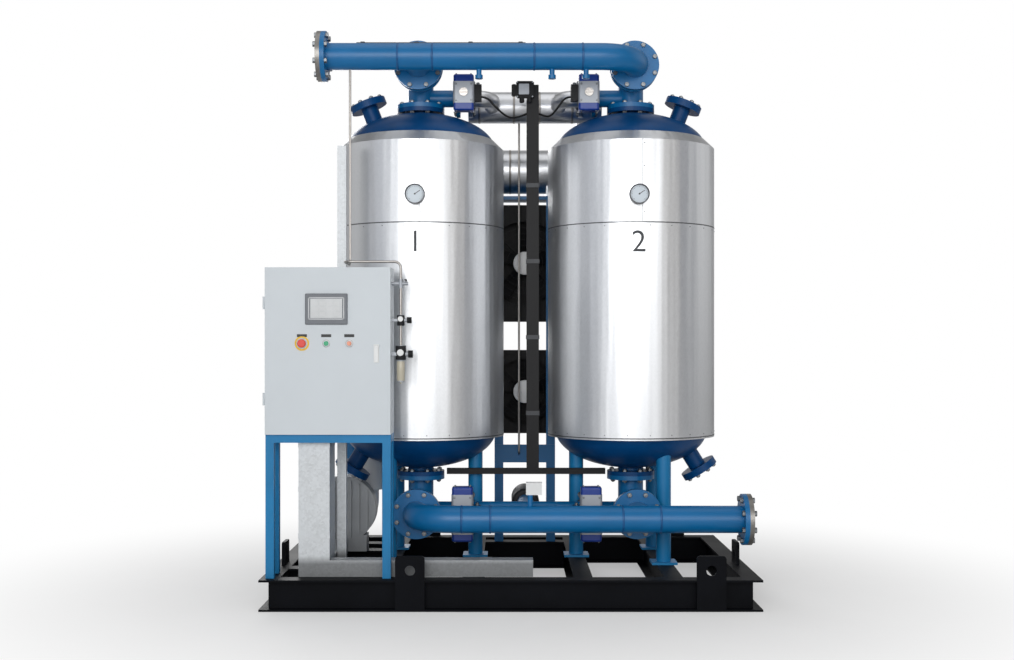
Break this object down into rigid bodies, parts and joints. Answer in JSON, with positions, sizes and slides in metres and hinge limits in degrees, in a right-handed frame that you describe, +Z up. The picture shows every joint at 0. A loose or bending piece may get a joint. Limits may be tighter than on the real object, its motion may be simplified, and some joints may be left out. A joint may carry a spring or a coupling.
{
  "type": "desiccant air dryer",
  "caption": "Twin-tower heat-regenerated desiccant dryer for compressed air on a beam skid, with switching valves, blower, heater, air cooler and control cabinet.",
  "frame": {"origin": "on the floor under the middle of the skid", "axes": "+Z up, +X to the right seen from the front, front with the control cabinet faces -Y"},
  "size_m": [2.4, 1.5, 2.835],
  "materials": {
    "black_paint": "satin",
    "blue_paint_dark": "satin",
    "leg_blue": "satin",
    "galvanised_sheet": "satin",
    "mineral_wool": "matte",
    "alumina_beads": "matte",
    "pipe_blue": "gloss",
    "bare_steel": "machined",
    "zinc_bolts": "zinc plated",
    "valve_black": "matte",
    "stainless_disc": "satin",
    "actuator_silver": "anodised",
    "cap_blue": "gloss",
    "solenoid_black": "matte",
    "lagging_jacket": "satin",
    "silencer_grey": "satin",
    "heater_jacket": "satin",
    "element_steel": "satin",
    "frame_blue": "satin",
    "cooler_black": "satin",
    "fan_white": "satin",
    "blower_grey": "satin",
    "motor_grey": "satin",
    "rotor_aluminium": "cast",
    "filter_white": "satin",
    "cabinet_grey": "satin",
    "hmi_dark": "satin",
    "estop_red": "gloss",
    "start_green": "gloss",
    "lamp_orange": "gloss",
    "lock_grey": "satin",
    "lever_grey": "satin",
    "module_grey": "matte",
    "galvanised_trunk": "galvanised",
    "conduit_black": "matte",
    "gauge_steel": "polished",
    "needle_black": "matte",
    "air_grey": "satin",
    "knob_black": "matte",
    "lever_black": "matte",
    "tube_steel": "polished",
    "sensor_white": "satin"
  },
  "bodies": {
    "base": {"skid_frame": "black_paint", "tower_a_vessel": "blue_paint_dark", "tower_legs": "leg_blue", "tower_a_cladding": "galvanised_sheet", "tower_insulation": "mineral_wool", "desiccant_beds": "alumina_beads", "top_branches": "pipe_blue", "counter_flanges": "bare_steel", "header_bolts": "zinc_bolts", "valve_bodies": "valve_black", "actuator_bodies": "actuator_silver", "actuator_caps": "cap_blue", "solenoid_valves": "solenoid_black", "regen_manifold": "lagging_jacket", "exhaust_silencer": "silencer_grey", "heater_vessel": "heater_jacket", "heater_elements": "element_steel", "rear_frame": "frame_blue", "cooler_shrouds": "cooler_black", "blower_housing": "blower_grey", "blower_motor": "motor_grey", "blower_filter": "filter_white", "cabinet_box": "cabinet_grey", "control_modules": "module_grey", "cable_trunking": "galvanised_trunk", "centre_conduit": "conduit_black", "pressure_gauges": "gauge_steel", "air_preparation": "air_grey", "instrument_tubing": "tube_steel", "dew_point_sensor": "sensor_white", "tower_b_vessel": "blue_paint_dark", "tower_b_cladding": "galvanised_sheet", "port_covers": "blue_paint_dark", "bottom_branches": "pipe_blue", "top_header": "pipe_blue", "bottom_header": "pipe_blue", "exhaust_manifold": "pipe_blue", "cabinet_stand": "black_paint", "purge_pipe": "pipe_blue"},
    "door": {"cabinet_door": "cabinet_grey", "hmi_panel": "hmi_dark", "alarm_lamp": "lamp_orange", "door_lock_plate": "lock_grey"},
    "estop": {"estop_button": "estop_red"},
    "start": {"start_button": "start_green"},
    "lock_lever": {"door_lock_lever": "lever_grey"},
    "disc_top_a": {"valve_disc_top_a": "stainless_disc"},
    "disc_bottom_a": {"valve_disc_bottom_a": "stainless_disc"},
    "disc_top_b": {"valve_disc_top_b": "stainless_disc"},
    "disc_bottom_b": {"valve_disc_bottom_b": "stainless_disc"},
    "flap_a": {"check_flap_a": "stainless_disc"},
    "flap_b": {"check_flap_b": "stainless_disc"},
    "rotor": {"blower_rotor": "rotor_aluminium"},
    "fan_upper": {"cooler_fan_upper": "fan_white"},
    "fan_lower": {"cooler_fan_lower": "fan_white"},
    "needle_a": {"gauge_needle_a": "needle_black"},
    "needle_b": {"gauge_needle_b": "needle_black"},
    "knob_upper": {"regulator_knob_upper": "knob_black"},
    "knob_lower": {"regulator_knob_lower": "knob_black"},
    "air_lever": {"ball_valve_lever": "lever_black"}
  },
  "joints": [
    {"name": "cabinet_door_hinge", "type": "hinge", "parent": "base", "child": "door", "pos_m": [-1.181, -0.71, 1.24], "axis": [0, 0, -1], "range_deg": [0, 120]},
    {"name": "emergency_stop_press", "type": "slide", "parent": "door", "child": "estop", "axis": [0, 1, 0], "range_m": [0, 0.005]},
    {"name": "start_button_press", "type": "slide", "parent": "door", "child": "start", "axis": [0, 1, 0], "range_m": [0, 0.003], "stiffness_N_per_m": 800},
    {"name": "door_lock_lever_lift", "type": "hinge", "parent": "door", "child": "lock_lever", "pos_m": [-0.641, -0.73, 1.264], "axis": [-1, 0, 0], "range_deg": [0, 60]},
    {"name": "valve_top_a_stem", "type": "hinge", "parent": "base", "child": "disc_top_a", "pos_m": [-0.243, 0, 2.58], "axis": [0, -1, 0], "range_deg": [0, 90]},
    {"name": "valve_bottom_a_stem", "type": "hinge", "parent": "base", "child": "disc_bottom_a", "pos_m": [-0.243, -0.19, 0.415], "axis": [0, -1, 0], "range_deg": [0, 90]},
    {"name": "valve_top_b_stem", "type": "hinge", "parent": "base", "child": "disc_top_b", "pos_m": [0.407, 0, 2.58], "axis": [0, -1, 0], "range_deg": [0, 90]},
    {"name": "valve_bottom_b_stem", "type": "hinge", "parent": "base", "child": "disc_bottom_b", "pos_m": [0.407, -0.19, 0.415], "axis": [0, -1, 0], "range_deg": [0, 90]},
    {"name": "check_flap_a_hinge", "type": "hinge", "parent": "base", "child": "flap_a", "pos_m": [-0.476, -0.197, 2.757], "axis": [-1, 0, 0], "range_deg": [0, 50]},
    {"name": "check_flap_b_hinge", "type": "hinge", "parent": "base", "child": "flap_b", "pos_m": [0.64, -0.197, 2.757], "axis": [-1, 0, 0], "range_deg": [0, 50]},
    {"name": "blower_rotor_spin", "type": "hinge", "parent": "base", "child": "rotor", "pos_m": [-0.91, 0.19, 0.38], "axis": [0, 1, 0], "continuous": true},
    {"name": "cooler_fan_upper_spin", "type": "hinge", "parent": "base", "child": "fan_upper", "pos_m": [0.084, 0.57, 1.7395], "axis": [0, 1, 0], "continuous": true},
    {"name": "cooler_fan_lower_spin", "type": "hinge", "parent": "base", "child": "fan_lower", "pos_m": [0.084, 0.57, 1.003], "axis": [0, 1, 0], "continuous": true},
    {"name": "gauge_needle_a_turn", "type": "hinge", "parent": "base", "child": "needle_a", "pos_m": [-0.476, -0.472, 2.02], "axis": [0, 1, 0], "range_deg": [-190, 79]},
    {"name": "gauge_needle_b_turn", "type": "hinge", "parent": "base", "child": "needle_b", "pos_m": [0.64, -0.472, 2.02], "axis": [0, 1, 0], "range_deg": [-190, 79]},
    {"name": "regulator_knob_upper_turn", "type": "hinge", "parent": "base", "child": "knob_upper", "pos_m": [-0.4997, -0.66, 1.388], "axis": [1, 0, 0], "range_deg": [-170, 170]},
    {"name": "regulator_knob_lower_turn", "type": "hinge", "parent": "base", "child": "knob_lower", "pos_m": [-0.4937, -0.66, 1.225], "axis": [1, 0, 0], "range_deg": [-170, 170]},
    {"name": "air_valve_lever_turn", "type": "hinge", "parent": "base", "child": "air_lever", "pos_m": [-0.505, -0.66, 1.58], "axis": [0, 0, 1], "range_deg": [0, 90]}
  ]
}
